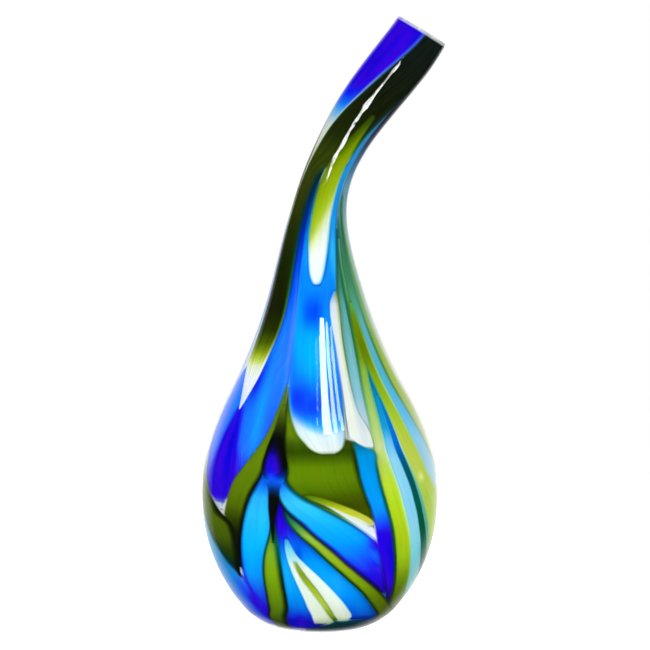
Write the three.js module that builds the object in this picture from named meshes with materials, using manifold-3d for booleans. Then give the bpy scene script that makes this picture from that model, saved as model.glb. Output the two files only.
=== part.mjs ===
// Hand blown art glass vase: a teardrop body with a slim neck that leans over to one side.
//
// The wall is built up the way the gather is: an opal glass bubble in the middle, coloured
// trails laid over it and combed into leaves and ribbons, and a clear gather over everything.
//
// Frame: millimetres, +Z up, origin at the centre of the flat ground foot. The neck leans
// towards +X and the front of the pattern faces -Y. Places on the wall are given as
// "along" (distance up the centreline) and degrees round it (0 front, 90 the +X side).

import * as THREE from "three";
import { mergeVertices } from "three/addons/utils/BufferGeometryUtils.js";
import Module from "manifold-3d";

const wasm = await Module();
wasm.setup();

// ---- driving dimensions ---------------------------------------------------------------

const LIP = 466; // length of the centreline, foot to lip
const CASING = 1.7; // clear gather
const TRAIL = 0.35; // one coloured trail
const CORE = 1.4; // opal bubble
const GAP = 0.3; // clearance between neighbouring pieces
const LAYERS = 4; // trails lie in up to four layers, 1 next to the clear gather
const FLOOR = 7; // where the walls close to the floor
const LIP_FOLD = 1.4; // clear glass folded over the lip
const COLUMNS = 20; // facets round the vase
const CASING_SEAMS = [84, 158, 248, 356]; // along, where the clear casing is parted
const CUTTER_SPAN = 16; // widest facet of a cutter, in degrees

const layerDepth = (layer) => CASING + GAP + (layer - 1) * (TRAIL + GAP);
const CORE_DEPTH = layerDepth(LAYERS + 1);

// Outside form: distance along the centreline, radius, lean of the centreline in degrees.
const SECTIONS = [
  [0, 29, 0],
  [4, 40.5, 0],
  [10, 50.5, 0],
  [22, 62, 0],
  [38, 72.5, 0],
  [60, 82, 0],
  [94, 87.6, -0.5],
  [120, 86.2, -1],
  [143, 80, -1],
  [167, 70.2, -1],
  [190, 58.6, -1],
  [214, 48, -1],
  [240, 38.4, -1],
  [265, 31, -0.5],
  [290, 24.8, 3],
  [312, 20.4, 9],
  [333, 18.3, 17],
  [352, 17.8, 25],
  [370, 18.4, 29.5],
  [395, 20, 35.5],
  [420, 21, 38.5],
  [445, 21.2, 37],
  [466, 20.4, 31],
];

// Heights of the facet rings that every layer of the wall shares.
const RINGS = [
  7, 14, 25, 40, 60, 84, 108, 132, 158, 186, 216, 248, 280, 308, 332, 356, 384, 424, 466,
];

const GLASS = {
  clear: { color: 0xeef7fb, roughness: 0.03, opacity: 0.35 },
  opal: { color: 0xf0f3ee, roughness: 0.12 },
  cobalt: { color: 0x2a05d2, roughness: 0.08 },
  sky: { color: 0x0f9cf0, roughness: 0.08 },
  aqua: { color: 0x8ecfe6, roughness: 0.08 },
  teal: { color: 0x08605f, roughness: 0.08 },
  lime: { color: 0xa8c42c, roughness: 0.08 },
  olive: { color: 0x667e05, roughness: 0.08 },
  dark_green: { color: 0x1f2a04, roughness: 0.08 },
};

// Every trail: name, glass, layer, then its two edges in degrees at places along the vase.
const TRAILS = [
  ["neck_cobalt", "cobalt", 3, [
    [464, -112, 12], [440, -108, -5], [415, -104, -23], [395, -98, -36],
    [375, -90, -47], [355, -82, -58], [342, -78, -64]]],
  ["neck_dark_green", "dark_green", 2, [
    [464, 8, 122], [440, -9, 84], [418, -25, 58], [396, -40, 46], [378, -51, 41],
    [362, -61, 32], [350, -68, 6], [340, -73, -20], [320, -78, -31], [295, -79, -34.5],
    [265, -77, -36.5], [235, -73, -38], [212, -70, -42], [195, -66, -47], [182, -61, -51],
    [172, -57, -54]]],
  ["neck_lime_tongue", "lime", 1, [
    [392, 24, 34], [375, 6, 36], [358, -9, 36], [340, -14, 33], [320, -14.5, 28],
    [300, -14, 24], [284, -12, 19.5], [270, -8, 12], [261, -3, 5]]],
  ["centre_sky", "sky", 3, [
    [402, 47, 57], [380, 42, 57], [358, 32, 54], [345, -8, 50], [330, -21, 47],
    [305, -22, 41], [280, -22, 36], [258, -21.5, 30], [247, -21, 24], [238, -20.5, 18.5],
    [220, -20, 17], [195, -18.5, 17.5], [175, -16.5, 17], [160, -13.5, 15.5],
    [150, -10, 15], [144, -6, 14], [139, 2, 11]]],
  ["left_sky_lobe", "sky", 4, [
    [335, -33, -26], [310, -36, -21], [280, -38, -20.5], [250, -41, -20], [220, -44, -20],
    [205, -50, -20.5], [192, -78, -21], [178, -80, -22.5], [165, -81, -25.5],
    [150, -80.5, -30], [135, -77.5, -35], [122, -72, -42], [112, -66, -47], [104, -60, -51],
    [99, -57, -54]]],
  ["left_cobalt_streak", "cobalt", 3, [
    [176, -57, -55], [165, -59, -51.5], [150, -59, -51], [135, -61, -51], [122, -64, -51.5],
    [112, -63, -53], [105, -60, -55]]],
  ["upper_olive_arm", "olive", 3, [
    [186, -23.5, -21.8], [172, -27, -21.8], [158, -31, -22.8], [145, -35, -25],
    [135, -39.5, -27.5], [125, -46, -30], [115, -50, -33.5], [105, -52, -37], [95, -54, -41],
    [85, -56.5, -44], [75, -58, -46], [65, -57, -47], [56, -55, -48.3]]],
  ["left_olive_leaf", "olive", 2, [
    [132, -88, -82], [122, -87, -74], [112, -86, -66.5], [104, -85, -61], [98, -84, -57.5],
    [92, -82, -54], [80, -79, -52], [68, -73, -50.5], [57, -63, -49.5], [49, -54.5, -49.5]]],
  ["apex_cobalt", "cobalt", 2, [
    [186, -22.6, -20], [170, -23, -19.4], [155, -24.3, -19.4], [142, -26.5, -19.4],
    [130, -27.3, -18.8], [120, -26, -19], [110, -25, -19.5], [101, -24, -20.5]]],
  ["left_sky_petal", "sky", 4, [
    [126, -25.5, -22.5], [115, -30.5, -23.2], [105, -36, -23.8], [95, -42, -24],
    [80, -47.5, -24.2], [62, -50, -26], [45, -50.5, -28.5], [30, -49, -32], [18, -47, -35.5],
    [10, -46, -40]]],
  ["lower_olive_leaf", "olive", 3, [
    [99, -24, -22.4], [85, -25.6, -22], [70, -27.2, -21.8], [55, -29, -21.8], [42, -31.2, -22],
    [32, -33, -22.8], [24, -36, -25], [17, -40, -29], [11, -45, -36]]],
  ["left_sky_band", "sky", 3, [
    [104, -95, -88], [88, -94, -78], [74, -90, -73], [62, -85, -66], [54, -80, -58],
    [47, -76, -51.5], [40, -72, -47.5], [30, -68, -46], [20, -64, -46], [12, -60, -47.5]]],
  ["centre_olive_leaf", "olive", 4, [
    [182, -20, -18], [168, -20.5, -14], [158, -20.5, -9], [150, -20.3, 16.5],
    [140, -19.8, 19], [130, -17, 20], [121, -12, 20.8], [113, -6, 21.8], [106, 1, 23],
    [101, 8, 24.3], [97, 15, 25], [94.5, 20, 25.5]]],
  ["yellow_seam", "lime", 1, [
    [111, -9, -4], [107, -5, 2], [104, 1, 8], [101, 6, 14], [97.5, 12, 20.5], [94.5, 18, 24],
    [92, 22, 25]]],
  ["white_wedge", "opal", 2, [
    [104.5, -1, 4], [100, 5, 13], [95, 11.5, 19], [90, 16.5, 24.5], [85, 20.5, 27.8],
    [80, 24.5, 29], [76, 28, 29.6]]],
  ["sweeping_sky_band", "sky", 3, [
    [128, -22.5, -20], [120, -22.5, -17.5], [114, -22, -12.5], [109, -21.3, -7],
    [104, -19.5, 1], [99, -17, 8], [94, -13.5, 14], [88, -9, 19.5], [82, -2.8, 25],
    [76, 3, 29.5], [70, 8.8, 31.5], [62, 16, 33], [54, 22.5, 35], [46, 29.5, 37.5],
    [40, 34.8, 40], [35, 39, 42.3]]],
  ["azure_stripe", "sky", 1, [
    [147, 18.5, 22], [139, 19.2, 30], [128, 19.8, 30.5], [118, 20.5, 31.5], [108, 21.8, 33],
    [98, 24.6, 34.5], [90, 26.5, 36.3], [80, 29.3, 38.8], [70, 31, 41], [60, 32.3, 43.5],
    [50, 34.3, 46], [40, 37.3, 49], [33, 42, 51], [29.5, 46, 51.5]]],
  ["cream_streak", "opal", 1, [
    [252, 24.5, 29], [240, 18.8, 27], [225, 17.3, 25.5], [205, 17.8, 24.5], [185, 18, 25.5],
    [170, 17.3, 28], [158, 17.5, 29.8], [152, 19.5, 30], [147, 24, 30], [142.5, 27.5, 30]]],
  ["inner_aqua_ribbon", "aqua", 3, [
    [300, 42, 47], [275, 36, 41], [252, 30.5, 35], [235, 27, 34], [215, 25, 32],
    [195, 24.7, 31.5], [175, 25.5, 31.5], [160, 28, 32], [150, 29.5, 32.5]]],
  ["long_lime_ribbon", "lime", 2, [
    [292, 45, 50], [270, 38.5, 43.5], [250, 34, 39], [232, 32.5, 39], [212, 31, 38.5],
    [190, 30.3, 36.8], [165, 30.3, 36.3], [140, 30.6, 36.8], [120, 31.3, 39], [100, 33.5, 43],
    [80, 38.2, 47.2], [60, 43, 51.5], [42, 47.8, 55.8], [28, 52.5, 61], [18, 58, 67],
    [11, 64, 74]]],
  ["forked_lime_ribbon", "lime", 1, [
    [240, 38.5, 42], [228, 38.5, 45], [214, 39.5, 47.5], [200, 41.2, 48.8], [182, 43, 50.8],
    [165, 44.3, 53], [150, 46.6, 55.7], [138, 49.5, 58.5], [126, 53, 62.5], [114, 57, 70],
    [104, 60, 82], [94, 63.5, 92], [84, 67.5, 99], [74, 74, 104], [64, 83, 107],
    [56, 92, 108]]],
  ["wide_aqua_ribbon", "aqua", 3, [
    [196, 38.5, 42.5], [180, 35, 41.5], [160, 34.5, 42], [140, 35, 44.5], [120, 37, 47],
    [100, 41, 52], [80, 45, 57.5], [60, 49.5, 64], [44, 53.5, 73], [30, 59, 84], [20, 64, 92],
    [12, 70, 96]]],
  ["teal_ribbon", "teal", 2, [
    [192, 39.5, 42.8], [176, 39.8, 43.5], [158, 41, 45], [140, 43.5, 48], [124, 45.8, 50.3],
    [108, 49, 54], [94, 53, 58.5], [80, 56.5, 62.5], [66, 60.5, 69], [54, 65.5, 79],
    [44, 71.5, 90], [36, 80, 98], [30, 90, 104]]],
  ["low_aqua_ribbon", "aqua", 3, [
    [134, 48, 50.5], [122, 50, 56], [110, 53, 60], [98, 56.5, 64], [86, 60, 69.5],
    [74, 65, 78], [62, 71, 90], [52, 80, 100], [46, 90, 104]]],
  ["side_aqua_ribbon", "aqua", 3, [
    [300, 49, 58], [280, 44, 56], [258, 38.5, 55], [240, 38, 56], [220, 42, 59.5],
    [200, 45.5, 61], [182, 48, 63.5], [165, 52, 67.5], [150, 55, 72], [138, 58, 77],
    [126, 61.5, 84], [114, 68, 92], [104, 78, 97], [96, 90, 100]]],
  ["side_olive_ribbon", "olive", 2, [
    [325, 50, 60], [300, 52, 63], [280, 50, 62], [260, 52, 63.5], [240, 55, 68],
    [220, 57.7, 72.5], [200, 59, 75], [180, 62, 80.5], [160, 65.3, 88], [146, 69.5, 96],
    [134, 75.5, 103], [122, 83, 109], [112, 92, 113]]],
  ["pale_side_ribbon", "aqua", 3, [
    [330, 58, 88], [300, 60, 92], [270, 59, 92], [240, 64, 96], [220, 69, 100], [200, 71, 104],
    [180, 76, 109], [160, 83, 115], [146, 91, 119], [134, 98, 122], [122, 105, 124],
    [112, 111, 124]]],
  ["lime_sweep", "lime", 1, [
    [101, -20, -18.3], [94, -19, -15.5], [87, -15.5, -10.5], [80, -11, -4.5], [73, -5, 2.5],
    [66, 0.5, 9], [59, 6.5, 15.5], [52, 12.5, 22], [45, 18.5, 29], [38, 24.5, 36.5],
    [33, 29, 40.5], [28, 34.5, 45.5], [24, 39.5, 51.5], [19, 45.5, 60], [14, 52, 68],
    [10, 58, 72]]],
  ["lower_sky_fan", "sky", 4, [
    [103, -21.5, -18.5], [92, -21.8, -13.5], [80, -21.8, -3], [70, -21.8, 6], [60, -21.8, 14],
    [50, -22, 24], [42, -22.5, 32], [34, -23.5, 40], [27, -25, 48], [20, -27, 54],
    [14, -30, 58], [10, -36, 58]]],
  ["white_leaf", "opal", 3, [
    [76, -17.2, -15.4], [68, -17, -12.8], [60, -15.6, -9], [52, -14, -3.5], [44, -12, 3],
    [37, -10.3, 9], [30, -8.8, 15.3], [24, -7.6, 20], [18, -6.5, 24.3], [13, -5.5, 24.5],
    [10, -3, 20]]],
  ["white_leaf_vein", "lime", 2, [
    [60, -13.3, -12], [52, -11.3, -8.5], [44, -8.3, -3.8], [36, -4, 1.2], [28, 0.8, 5.8],
    [21, 5.2, 10.3], [15, 9.5, 15.5], [11.5, 13.5, 18.5]]],
  ["foot_teal", "teal", 1, [[12.5, 16, 40], [10.5, -20, 50], [8.8, -30, 52]]],
  ["back_neck_sky", "sky", 4, [
    [464, 112, 182], [430, 74, 160], [400, 60, 140], [370, 58, 128], [340, 62, 122],
    [310, 84, 130], [280, 96, 140], [250, 100, 142], [220, 106, 146], [190, 112, 150],
    [170, 116, 146], [154, 122, 138]]],
  ["back_neck_olive", "olive", 2, [
    [464, 172, 252], [430, 152, 258], [400, 136, 264], [370, 126, 272], [340, 122, 280],
    [310, 128, 276], [280, 138, 262], [250, 144, 244], [225, 148, 228], [205, 152, 212],
    [192, 160, 196]]],
  ["back_cobalt_lobe", "cobalt", 3, [
    [300, 256, 276], [270, 248, 278], [240, 236, 280], [210, 222, 278], [190, 208, 276],
    [170, 206, 272], [150, 208, 266], [130, 214, 258], [116, 222, 248], [106, 230, 240]]],
  ["back_lime_ribbon", "lime", 1, [
    [270, 128, 142], [240, 132, 148], [210, 138, 154], [180, 145, 160], [150, 154, 168],
    [120, 164, 178], [90, 174, 190], [60, 184, 204], [36, 194, 220], [18, 206, 238],
    [10, 216, 250]]],
  ["back_aqua_ribbon", "aqua", 3, [
    [230, 146, 160], [200, 148, 170], [170, 154, 182], [140, 162, 194], [110, 171, 204],
    [80, 181, 214], [55, 192, 226], [34, 204, 240], [18, 218, 254], [10, 232, 258]]],
  ["back_olive_leaf", "olive", 2, [
    [150, 192, 200], [130, 196, 214], [110, 203, 228], [92, 212, 246], [76, 222, 262],
    [62, 234, 268], [50, 248, 270], [42, 258, 270]]],
  ["back_sky_petal", "sky", 4, [
    [150, 176, 190], [125, 184, 216], [100, 194, 240], [80, 204, 262], [60, 214, 272],
    [42, 226, 280], [26, 238, 286], [14, 250, 292], [10, 256, 292]]],
  ["back_teal_fan", "teal", 4, [
    [140, 120, 132], [115, 112, 150], [90, 104, 170], [65, 100, 190], [42, 96, 206],
    [24, 94, 222], [10, 96, 240]]],
  ["back_white_leaf", "opal", 3, [
    [96, 122, 128], [80, 118, 138], [62, 114, 150], [44, 112, 160], [28, 112, 166],
    [14, 116, 164]]],
  ["back_leaf_vein", "lime", 2, [
    [84, 124, 128], [66, 122, 132], [48, 124, 138], [32, 128, 146], [18, 134, 152]]],
  ["back_cobalt_leaf", "cobalt", 1, [
    [150, 124, 132], [130, 126, 146], [110, 132, 158], [90, 140, 168], [72, 150, 176],
    [58, 160, 178], [48, 168, 178]]],
];

// ---- the form -------------------------------------------------------------------------

// Value of one column of a table at a place along the vase, on a smooth curve through it.
function smooth(rows, column, along) {
  const count = rows.length;
  const slope = (i) => (rows[i + 1][column] - rows[i][column]) / (rows[i + 1][0] - rows[i][0]);
  const tangent = (i) => {
    if (i === 0) return slope(0);
    if (i === count - 1) return slope(count - 2);
    const before = Math.abs(rows[i][0] - rows[i - 1][0]);
    const after = Math.abs(rows[i + 1][0] - rows[i][0]);
    return (slope(i - 1) * after + slope(i) * before) / (before + after);
  };
  const direction = Math.sign(rows[count - 1][0] - rows[0][0]);
  let i = 0;
  while (i < count - 2 && direction * (along - rows[i + 1][0]) > 0) i += 1;
  const span = rows[i + 1][0] - rows[i][0];
  const t = THREE.MathUtils.clamp((along - rows[i][0]) / span, 0, 1);
  return (
    (2 * t ** 3 - 3 * t ** 2 + 1) * rows[i][column] +
    (t ** 3 - 2 * t ** 2 + t) * span * tangent(i) +
    (3 * t ** 2 - 2 * t ** 3) * rows[i + 1][column] +
    (t ** 3 - t ** 2) * span * tangent(i + 1)
  );
}

const radiusAt = (along) => smooth(SECTIONS, 1, along);
const leanAt = (along) => THREE.MathUtils.degToRad(smooth(SECTIONS, 2, along));

// Centreline, summed up from its lean in 1 mm steps.
const CENTRELINE = [new THREE.Vector3()];
for (let along = 1; along <= LIP; along += 1) {
  const lean = leanAt(along - 0.5);
  const step = new THREE.Vector3(Math.sin(lean), 0, Math.cos(lean));
  CENTRELINE.push(CENTRELINE[along - 1].clone().add(step));
}

function centreAt(along) {
  const below = Math.min(Math.floor(along), LIP - 1);
  return CENTRELINE[below].clone().lerp(CENTRELINE[below + 1], along - below);
}

// A point on the wall, at a depth measured straight in from the outside surface.
function wallPoint(along, degrees, depth) {
  const lean = leanAt(along);
  const turn = THREE.MathUtils.degToRad(degrees);
  const flare = Math.atan(radiusAt(along + 0.5) - radiusAt(along - 0.5));
  const side = new THREE.Vector3(Math.cos(lean), 0, -Math.sin(lean));
  const axis = new THREE.Vector3(Math.sin(lean), 0, Math.cos(lean));
  const outward = side.multiplyScalar(Math.sin(turn));
  outward.y = -Math.cos(turn);
  return centreAt(along)
    .addScaledVector(outward, radiusAt(along) - depth * Math.cos(flare))
    .addScaledVector(axis, depth * Math.sin(flare));
}

function ring(along, depth) {
  const loop = [];
  for (let column = 0; column < COLUMNS; column += 1) {
    loop.push(wallPoint(along, (column * 360) / COLUMNS, depth));
  }
  return loop;
}

// ---- solids ---------------------------------------------------------------------------

// Skin over a stack of loops that all have the same number of points.
function skin(loops, triangles) {
  const size = loops[0].length;
  for (let row = 0; row + 1 < loops.length; row += 1) {
    for (let i = 0; i < size; i += 1) {
      const next = (i + 1) % size;
      const [a, b] = [loops[row][i], loops[row][next]];
      const [c, d] = [loops[row + 1][next], loops[row + 1][i]];
      triangles.push([a, b, c], [a, c, d]);
    }
  }
}

function fan(loop, triangles) {
  const middle = new THREE.Vector3();
  loop.forEach((point) => middle.addScaledVector(point, 1 / loop.length));
  loop.forEach((point, i) => triangles.push([middle, loop[(i + 1) % loop.length], point]));
}

function toGeometry(triangles) {
  const positions = triangles.flatMap((corners) => corners.flatMap((p) => [p.x, p.y, p.z]));
  const geometry = new THREE.BufferGeometry();
  geometry.setAttribute("position", new THREE.Float32BufferAttribute(positions, 3));
  return mergeVertices(geometry, 1e-4);
}

// A vessel: its loops run up the outside, over the lip and down the inside.
function vessel(loops) {
  const triangles = [];
  fan(loops[0], triangles);
  skin(loops, triangles);
  fan(loops[loops.length - 1].slice().reverse(), triangles);
  return toGeometry(triangles);
}

function toManifold(geometry) {
  const mesh = new wasm.Mesh({
    numProp: 3,
    vertProperties: new Float32Array(geometry.attributes.position.array),
    triVerts: new Uint32Array(geometry.index.array),
  });
  return new wasm.Manifold(mesh);
}

function fromManifold(solid) {
  const { numProp, vertProperties, triVerts } = solid.getMesh();
  const positions = [];
  for (let i = 0; i < vertProperties.length; i += numProp) {
    positions.push(...vertProperties.slice(i, i + 3));
  }
  const geometry = new THREE.BufferGeometry();
  geometry.setAttribute("position", new THREE.Float32BufferAttribute(positions, 3));
  geometry.setIndex(Array.from(triVerts));
  return geometry;
}

// Rings of the wall at one depth, with the two ends of the stretch among them.
function wallRings(from, to, depth) {
  const between = RINGS.filter((along) => along > from && along < to);
  return [from, ...between, to].map((along) => ring(along, depth));
}

// An open-ended tube: its loops run up one face of the wall and down the other.
function collar(loops) {
  const triangles = [];
  skin([...loops, loops[0]], triangles);
  return toGeometry(triangles);
}

// A plain stretch of the clear casing between two seams.
function casingBand(from, to) {
  const ends = [from + GAP / 2, to - GAP / 2];
  return collar([...wallRings(...ends, 0), ...wallRings(...ends, CASING).reverse()]);
}

// One whole layer of trail glass, open at the foot and at the lip.
function layerTube(layer) {
  const depth = layerDepth(layer);
  const outside = wallRings(FLOOR, LIP, depth);
  const inside = wallRings(FLOOR, LIP, depth + TRAIL).reverse();
  return toManifold(collar([...outside, ...inside]));
}

// A thick block that follows a trail's two edges and reaches through every layer.
function trailCutter(edges) {
  const widest = Math.max(...edges.map(([, from, to]) => to - from));
  const columns = Math.ceil(widest / CUTTER_SPAN);
  const loops = edges.slice().reverse().map(([along, from, to]) => {
    const outside = [];
    const inside = [];
    for (let i = 0; i <= columns; i += 1) {
      const degrees = from + ((to - from) * i) / columns;
      outside.push(wallPoint(along, degrees, -CASING));
      inside.unshift(wallPoint(along, degrees, CORE_DEPTH + 3 * CORE));
    }
    return [...outside, ...inside];
  });
  const triangles = [];
  const cap = (loop, flip) => {
    const last = loop.length - 1;
    for (let i = 0; i < columns; i += 1) {
      const [a, b, c, d] = [loop[i], loop[i + 1], loop[last - i - 1], loop[last - i]];
      triangles.push(...(flip ? [[a, b, c], [a, c, d]] : [[c, b, a], [d, c, a]]));
    }
  };
  cap(loops[0], false);
  skin(loops, triangles);
  cap(loops[loops.length - 1], true);
  return toManifold(toGeometry(triangles));
}

// ---- assembly -------------------------------------------------------------------------

function piece(name, geometry, glass) {
  const { color, roughness, opacity = 1 } = GLASS[glass];
  const material = new THREE.MeshStandardMaterial({
    color,
    roughness,
    metalness: 0,
    opacity,
    transparent: opacity < 1,
  });
  const mesh = new THREE.Mesh(geometry, material);
  mesh.name = name;
  return mesh;
}

const vase = new THREE.Group();

const foldDepth = CORE_DEPTH - GAP;
const seamGap = GAP / 2;
const [footSeam, bellySeam, shoulderSeam, neckSeam] = CASING_SEAMS;

const casingFoot = vessel([
  ring(0, 0),
  ring(3, 0),
  ...wallRings(FLOOR, footSeam - seamGap, 0),
  ...wallRings(FLOOR, footSeam - seamGap, CASING).reverse(),
  ring(FLOOR, foldDepth),
]);
const casingLip = collar([
  ...wallRings(neckSeam + seamGap, LIP - 1, 0),
  ring(LIP, 0.8),
  ring(LIP, foldDepth),
  ring(LIP - LIP_FOLD, foldDepth),
  ...wallRings(neckSeam + seamGap, LIP - LIP_FOLD, CASING).reverse(),
]);
vase.add(piece("clear_casing_foot", casingFoot, "clear"));
vase.add(piece("clear_casing_belly", casingBand(footSeam, bellySeam), "clear"));
vase.add(piece("clear_casing_shoulder", casingBand(bellySeam, shoulderSeam), "clear"));
vase.add(piece("clear_casing_neck", casingBand(shoulderSeam, neckSeam), "clear"));
vase.add(piece("clear_casing_lip", casingLip, "clear"));

const core = vessel([
  ...RINGS.map((along) => ring(along, CORE_DEPTH)),
  ring(LIP, CORE_DEPTH + 0.7),
  ring(LIP - 0.8, CORE_DEPTH + CORE),
  ...RINGS.slice(0, -1).reverse().map((along) => ring(along, CORE_DEPTH + CORE)),
]);
vase.add(piece("opal_core", core, "opal"));

const tubes = [1, 2, 3, 4].map(layerTube);
for (const [name, glass, layer, edges] of TRAILS) {
  const solid = tubes[layer - 1].intersect(trailCutter(edges));
  vase.add(piece(name, fromManifold(solid), glass));
}

export default vase;
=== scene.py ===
"""Hand blown art glass vase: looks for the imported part.

The wall is an opal bubble, coloured trails in four thin layers, and a clear gather.
Places on the wall are "along" (mm up the centreline) and degrees (0 front, 90 the +X side).
"""

import math
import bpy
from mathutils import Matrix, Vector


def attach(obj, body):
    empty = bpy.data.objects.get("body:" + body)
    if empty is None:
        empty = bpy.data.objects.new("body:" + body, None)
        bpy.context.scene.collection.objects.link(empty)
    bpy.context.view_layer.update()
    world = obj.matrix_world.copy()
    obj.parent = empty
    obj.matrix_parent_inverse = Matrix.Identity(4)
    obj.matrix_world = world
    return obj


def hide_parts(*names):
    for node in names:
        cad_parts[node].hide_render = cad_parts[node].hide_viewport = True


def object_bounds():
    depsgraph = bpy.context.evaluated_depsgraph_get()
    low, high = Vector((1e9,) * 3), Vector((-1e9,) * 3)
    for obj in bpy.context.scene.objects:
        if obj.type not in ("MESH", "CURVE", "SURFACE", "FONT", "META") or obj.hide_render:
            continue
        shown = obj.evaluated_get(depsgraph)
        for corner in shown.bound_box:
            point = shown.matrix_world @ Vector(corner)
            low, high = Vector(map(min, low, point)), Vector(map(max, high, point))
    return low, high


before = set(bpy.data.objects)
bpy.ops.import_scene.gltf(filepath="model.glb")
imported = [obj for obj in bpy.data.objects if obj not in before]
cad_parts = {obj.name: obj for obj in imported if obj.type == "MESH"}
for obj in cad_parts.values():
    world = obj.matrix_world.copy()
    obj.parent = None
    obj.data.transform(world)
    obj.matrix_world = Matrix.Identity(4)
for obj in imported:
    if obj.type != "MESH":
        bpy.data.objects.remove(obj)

from types import SimpleNamespace

import bpy
import numpy as np
from mathutils import Vector

frame_low, frame_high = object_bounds()

MM = 0.001

# ---- form, in millimetres, the same as the frame's ----

LIP = 466.0
CASING = 1.7
TRAIL = 0.35
CORE = 1.4
GAP = 0.3
LAYERS = 4
FLOOR = 7.0
LIP_FOLD = 1.4
CORE_DEPTH = CASING + GAP + LAYERS * (TRAIL + GAP)

# distance along the centreline, radius, lean of the centreline in degrees
SECTIONS = [
    (0, 29, 0), (4, 40.5, 0), (10, 50.5, 0), (22, 62, 0), (38, 72.5, 0), (60, 82, 0),
    (94, 87.6, -0.5), (120, 86.2, -1), (143, 80, -1), (167, 70.2, -1), (190, 58.6, -1),
    (214, 48, -1), (240, 38.4, -1), (265, 31, -0.5), (290, 24.8, 3), (312, 20.4, 9),
    (333, 18.3, 17), (352, 17.8, 25), (370, 18.4, 29.5), (395, 20, 35.5), (420, 21, 38.5),
    (445, 21.2, 37), (466, 20.4, 31),
]

# ---- trails ----

# colours as they look, 0 to 255
COLOURS = dict(
    opal=(238, 242, 242), cream=(228, 232, 205), cobalt=(44, 4, 214), navy=(8, 6, 60),
    blue=(4, 84, 250), cornflower=(56, 128, 252), azure=(0, 150, 236), sky=(8, 178, 250),
    pale_sky=(150, 210, 244), aqua=(138, 205, 234), pale_aqua=(178, 220, 236), teal=(6, 96, 92),
    dark_teal=(2, 58, 56), black=(8, 12, 6), dark_green=(20, 30, 4), deep_olive=(54, 70, 2),
    olive=(92, 128, 4), light_olive=(122, 152, 12), lime=(166, 194, 36), pale_lime=(194, 212, 96),
    yellow=(206, 214, 56),
)

# How far a trail flows out in the hot glass past its edges, in mm: left, right, top, bottom.
FLOW = (1.4, 1.4, 1.0, 1.0)
SOFT = 1.6


def table(text):
    """Rows of numbers. Commas part the rows, and a colour's name stands for its numbers."""
    return [
        tuple(
            float(number)
            for cell in row.split()
            for number in COLOURS.get(cell, (cell,))
        )
        for row in text.split(",")
    ]


TRAILS = []


def lay(name, slot, layer, edges, body, left=None, right=None, spots=None,
        flow=FLOW, soft=SOFT, slant=0, bow=(0, 0)):
    """Adds a trail of coloured glass, in layer 1 (next to the clear gather) to 4.

    edges: along, from, to
    body: the colour down its length, as rows of along, red, green, blue
    left, right: the colour of an edge, as such rows or one colour, and the mm it keeps
    spots: along, degrees, mm along, mm across, red, green, blue; a few are painted highlights
    flow: its own left, right, top and bottom flow
    soft: how far in mm its edges fade
    slant: how far the body's rows lean, in mm along for each degree across
    bow: how much they curve, in mm for each degree squared, and the degrees of the low point
    """
    TRAILS.append(SimpleNamespace(
        name=name, slot=slot, layer=layer, edges=table(edges), body=table(body),
        sides=[side and (table(side[0]), side[1]) for side in (left, right)],
        spots=table(spots) if spots else [], flow=flow, soft=soft, slant=slant, bow=bow,
    ))


lay("neck_cobalt", "cobalt_glass", 3, flow=(1, 1, 1, 1), soft=1.5,
    edges="""464 -115 10, 450 -113 2, 440 -111 -4, 430 -109 -9.5, 420 -107 -15, 410 -105 -21,
    400 -103 -27.5, 390 -99 -36, 380 -95 -45, 370 -91 -54, 360 -88 -61, 350 -85 -67, 342 -83 -71""",
    body="""464 cobalt, 408 cobalt, 397 16 40 236, 389 20 110 240, 382 100 180 235, 374 196 218 222,
    364 226 232 216, 342 cream""",
    right=("""464 60 100 250, 440 70 130 250, 420 100 170 246, 400 150 214 240, 385 190 226 230,
    370 220 234 210, 342 cream""", 2.6))
lay("neck_dark_green", "dark_green_glass", 2, flow=(0.6, 0.8, 1, 1),
    edges="""464 9 125, 450 1 110, 440 -5 97, 430 -10.5 84, 420 -16 72, 410 -22 64, 400 -28.5 58,
    390 -37 53, 380 -46 47.5, 370 -55 43, 360 -62 38, 353 -66 30, 347 -69 6, 340 -73 -20, 330 -77 -29,
    318 -80 -33, 300 -81 -35, 280 -81 -36, 255 -80 -37, 235 -78 -38.5, 222 -77 -41.5, 212 -76.5 -44.5,
    202 -75.5 -47, 192 -70 -49.5, 182 -64 -52.5, 174 -60 -55, 169 -58.2 -57""",
    body="""464 18 28 24, 440 18 27 18, 420 20 28 12, 400 22 28 8, 372 28 38 6, 352 50 64 8, 335 54 64 12,
    318 50 60 12, 300 38 50 6, 270 24 38 2, 240 24 32 2, 226 36 48 0, 216 78 98 2, 209 138 158 18,
    204 190 206 70, 199 230 238 205, 190 opal, 169 226 232 246""",
    left=("""464 30 60 110, 420 24 60 60, 372 40 62 26, 340 70 84 40, 300 84 96 50, 240 90 104 40,
    215 160 172 90, 200 224 228 196, 190 214 222 244, 169 214 222 244""", 2),
    right=("""464 24 40 40, 420 34 54 56, 400 30 58 62, 385 16 66 66, 372 40 90 50, 352 60 100 20,
    335 24 56 36, 312 6 54 56, 290 4 58 56, 272 16 84 44, 256 46 98 10, 236 78 118 8, 222 98 130 24,
    212 170 200 110, 204 226 236 216, 169 opal""", 2.8))
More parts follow.
